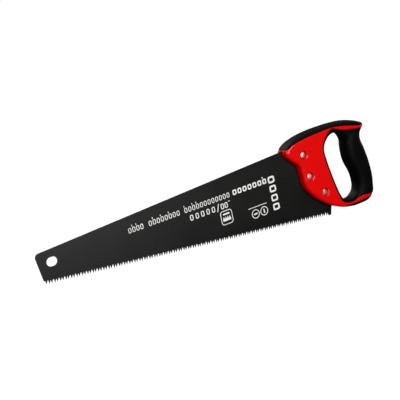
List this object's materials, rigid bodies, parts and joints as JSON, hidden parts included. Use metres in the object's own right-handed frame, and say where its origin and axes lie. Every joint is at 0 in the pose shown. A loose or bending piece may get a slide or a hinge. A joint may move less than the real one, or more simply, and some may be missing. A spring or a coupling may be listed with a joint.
{
  "type": "hand saw",
  "caption": "Panel hand saw: tapered coated steel blade with a toothed edge and a hang hole, bolted into a closed two-material pistol handle.",
  "frame": {"origin": "centre of the grip, on the middle plane of the blade", "axes": "+X from the toe of the blade towards the handle along the tooth line, +Z from the teeth towards the back of the blade, +Y away from the printed side"},
  "size_m": [0.5273, 0.027, 0.1323],
  "materials": {
    "coated_steel": "satin black non-stick coating",
    "red_plastic": "semi-gloss moulded",
    "black_rubber": "matte soft overmould",
    "plated_steel": "bright zinc plate"
  },
  "bodies": {
    "root": {"blade": "coated_steel", "handle_body": "red_plastic", "grip_sleeve": "black_rubber", "top_strip": "black_rubber", "heel_strip": "black_rubber", "screw_1": "plated_steel", "screw_2": "plated_steel", "screw_3": "plated_steel", "sleeve_nut_1": "plated_steel", "sleeve_nut_2": "plated_steel", "sleeve_nut_3": "plated_steel"}
  },
  "joints": []
}
